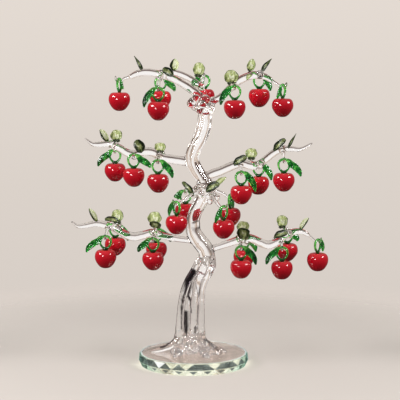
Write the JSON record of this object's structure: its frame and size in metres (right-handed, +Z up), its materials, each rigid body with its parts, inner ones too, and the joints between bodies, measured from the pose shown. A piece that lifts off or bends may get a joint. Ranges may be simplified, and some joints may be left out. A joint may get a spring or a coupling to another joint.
{
  "type": "glass fruit tree figurine",
  "caption": "Clear glass tree on a cut glass disc, with red glass cherries that hang by green glass loops from its upturned hooks.",
  "frame": {"origin": "centre of the base disc's flat underside", "axes": "+Z up along the tree, -Y towards the viewer that the front of the tree faces, +X to that viewer's right"},
  "size_m": [0.2792, 0.119, 0.3356],
  "materials": {
    "clear_glass": "clear, fire polished, with a cut and polished base",
    "red_glass": "solid red, fire polished gloss",
    "green_glass": "deep green, fire polished gloss"
  },
  "bodies": {
    "tree": {"base_disc": "clear_glass", "trunk_lower": "clear_glass", "trunk_upper": "clear_glass", "branch_lower_left": "clear_glass", "branch_lower_right": "clear_glass", "branch_middle_left": "clear_glass", "branch_middle_right": "clear_glass", "crown": "clear_glass"},
    "hanging_cherry_01": {"cherry_01": "red_glass", "cherry_loop_01": "green_glass"},
    "hanging_cherry_02": {"cherry_02": "red_glass", "cherry_loop_02": "green_glass"},
    "hanging_cherry_03": {"cherry_03": "red_glass", "cherry_loop_03": "green_glass"},
    "hanging_cherry_04": {"cherry_04": "red_glass", "cherry_loop_04": "green_glass"},
    "hanging_cherry_05": {"cherry_05": "red_glass", "cherry_loop_05": "green_glass"},
    "hanging_cherry_06": {"cherry_06": "red_glass", "cherry_loop_06": "green_glass"},
    "hanging_cherry_07": {"cherry_07": "red_glass", "cherry_loop_07": "green_glass"},
    "hanging_cherry_08": {"cherry_08": "red_glass", "cherry_loop_08": "green_glass"},
    "hanging_cherry_09": {"cherry_09": "red_glass", "cherry_loop_09": "green_glass"},
    "hanging_cherry_10": {"cherry_10": "red_glass", "cherry_loop_10": "green_glass"},
    "hanging_cherry_11": {"cherry_11": "red_glass", "cherry_loop_11": "green_glass"},
    "hanging_cherry_12": {"cherry_12": "red_glass", "cherry_loop_12": "green_glass"},
    "hanging_cherry_13": {"cherry_13": "red_glass", "cherry_loop_13": "green_glass"},
    "hanging_cherry_14": {"cherry_14": "red_glass", "cherry_loop_14": "green_glass"},
    "hanging_cherry_15": {"cherry_15": "red_glass", "cherry_loop_15": "green_glass"},
    "hanging_cherry_16": {"cherry_16": "red_glass", "cherry_loop_16": "green_glass"},
    "hanging_cherry_17": {"cherry_17": "red_glass", "cherry_loop_17": "green_glass"},
    "hanging_cherry_18": {"cherry_18": "red_glass", "cherry_loop_18": "green_glass"},
    "hanging_cherry_19": {"cherry_19": "red_glass", "cherry_loop_19": "green_glass"},
    "hanging_cherry_20": {"cherry_20": "red_glass", "cherry_loop_20": "green_glass"},
    "hanging_cherry_21": {"cherry_21": "red_glass", "cherry_loop_21": "green_glass"},
    "hanging_cherry_22": {"cherry_22": "red_glass", "cherry_loop_22": "green_glass"},
    "hanging_cherry_23": {"cherry_23": "red_glass", "cherry_loop_23": "green_glass"},
    "hanging_cherry_24": {"cherry_24": "red_glass", "cherry_loop_24": "green_glass"},
    "hanging_cherry_25": {"cherry_25": "red_glass", "cherry_loop_25": "green_glass"},
    "hanging_cherry_26": {"cherry_26": "red_glass", "cherry_loop_26": "green_glass"}
  },
  "joints": [
    {"name": "swing_01", "type": "hinge", "parent": "tree", "child": "hanging_cherry_01", "pos_m": [-0.0794, 0, 0.3076], "axis": [-0.9063, -0.4226, 0], "range_deg": [-15, 15]},
    {"name": "swing_02", "type": "hinge", "parent": "tree", "child": "hanging_cherry_02", "pos_m": [-0.037, -0.02, 0.298], "axis": [0, -1, 0], "range_deg": [-15, 15]},
    {"name": "swing_03", "type": "hinge", "parent": "tree", "child": "hanging_cherry_03", "pos_m": [-0.0357, 0.018, 0.3089], "axis": [0, 1, 0], "range_deg": [-15, 15]},
    {"name": "swing_04", "type": "hinge", "parent": "tree", "child": "hanging_cherry_04", "pos_m": [0.0115, 0.024, 0.311], "axis": [0, 1, 0], "range_deg": [-15, 15]},
    {"name": "swing_05", "type": "hinge", "parent": "tree", "child": "hanging_cherry_05", "pos_m": [0.0438, -0.018, 0.2996], "axis": [0, -1, 0], "range_deg": [-15, 15]},
    {"name": "swing_06", "type": "hinge", "parent": "tree", "child": "hanging_cherry_06", "pos_m": [0.0715, 0.017, 0.3112], "axis": [0, 1, 0], "range_deg": [-15, 15]},
    {"name": "swing_07", "type": "hinge", "parent": "tree", "child": "hanging_cherry_07", "pos_m": [0.0958, 0, 0.3011], "axis": [0.866, -0.5, 0], "range_deg": [-15, 15]},
    {"name": "swing_08", "type": "hinge", "parent": "tree", "child": "hanging_cherry_08", "pos_m": [-0.0857, 0.017, 0.2301], "axis": [0, 1, 0], "range_deg": [-15, 15]},
    {"name": "swing_09", "type": "hinge", "parent": "tree", "child": "hanging_cherry_09", "pos_m": [-0.0638, -0.012, 0.2269], "axis": [0, -1, 0], "range_deg": [-15, 15]},
    {"name": "swing_10", "type": "hinge", "parent": "tree", "child": "hanging_cherry_10", "pos_m": [-0.0374, -0.025, 0.2217], "axis": [0, -1, 0], "range_deg": [-15, 15]},
    {"name": "swing_11", "type": "hinge", "parent": "tree", "child": "hanging_cherry_11", "pos_m": [0.0509, -0.022, 0.2091], "axis": [0, -1, 0], "range_deg": [-15, 15]},
    {"name": "swing_12", "type": "hinge", "parent": "tree", "child": "hanging_cherry_12", "pos_m": [0.0712, 0.015, 0.2159], "axis": [0, 1, 0], "range_deg": [-15, 15]},
    {"name": "swing_13", "type": "hinge", "parent": "tree", "child": "hanging_cherry_13", "pos_m": [0.0965, -0.016, 0.2221], "axis": [0, -1, 0], "range_deg": [-15, 15]},
    {"name": "swing_14", "type": "hinge", "parent": "tree", "child": "hanging_cherry_14", "pos_m": [-0.0177, -0.034, 0.1784], "axis": [-0.8192, -0.5736, 0], "range_deg": [-15, 15]},
    {"name": "swing_15", "type": "hinge", "parent": "tree", "child": "hanging_cherry_15", "pos_m": [-0.0089, 0.023, 0.1852], "axis": [0, 1, 0], "range_deg": [-15, 15]},
    {"name": "swing_16", "type": "hinge", "parent": "tree", "child": "hanging_cherry_16", "pos_m": [0.0321, -0.034, 0.1738], "axis": [0.766, -0.6428, 0], "range_deg": [-15, 15]},
    {"name": "swing_17", "type": "hinge", "parent": "tree", "child": "hanging_cherry_17", "pos_m": [0.0398, 0.006, 0.1822], "axis": [0.9659, -0.2588, 0], "range_deg": [-15, 15]},
    {"name": "swing_18", "type": "hinge", "parent": "tree", "child": "hanging_cherry_18", "pos_m": [-0.0941, -0.018, 0.1399], "axis": [0, -1, 0], "range_deg": [-15, 15]},
    {"name": "swing_19", "type": "hinge", "parent": "tree", "child": "hanging_cherry_19", "pos_m": [-0.0861, 0.017, 0.1482], "axis": [0, 1, 0], "range_deg": [-15, 15]},
    {"name": "swing_20", "type": "hinge", "parent": "tree", "child": "hanging_cherry_20", "pos_m": [-0.0433, -0.018, 0.1374], "axis": [0, -1, 0], "range_deg": [-15, 15]},
    {"name": "swing_21", "type": "hinge", "parent": "tree", "child": "hanging_cherry_21", "pos_m": [-0.0408, 0.017, 0.1432], "axis": [0, 1, 0], "range_deg": [-15, 15]},
    {"name": "swing_22", "type": "hinge", "parent": "tree", "child": "hanging_cherry_22", "pos_m": [0.0512, -0.018, 0.1287], "axis": [0, -1, 0], "range_deg": [-15, 15]},
    {"name": "swing_23", "type": "hinge", "parent": "tree", "child": "hanging_cherry_23", "pos_m": [0.0555, 0.017, 0.1349], "axis": [0, 1, 0], "range_deg": [-15, 15]},
    {"name": "swing_24", "type": "hinge", "parent": "tree", "child": "hanging_cherry_24", "pos_m": [0.095, -0.018, 0.1277], "axis": [0, -1, 0], "range_deg": [-15, 15]},
    {"name": "swing_25", "type": "hinge", "parent": "tree", "child": "hanging_cherry_25", "pos_m": [0.1032, 0.017, 0.1419], "axis": [0, 1, 0], "range_deg": [-15, 15]},
    {"name": "swing_26", "type": "hinge", "parent": "tree", "child": "hanging_cherry_26", "pos_m": [0.135, 0, 0.1337], "axis": [0.8192, -0.5736, 0], "range_deg": [-15, 15]}
  ]
}
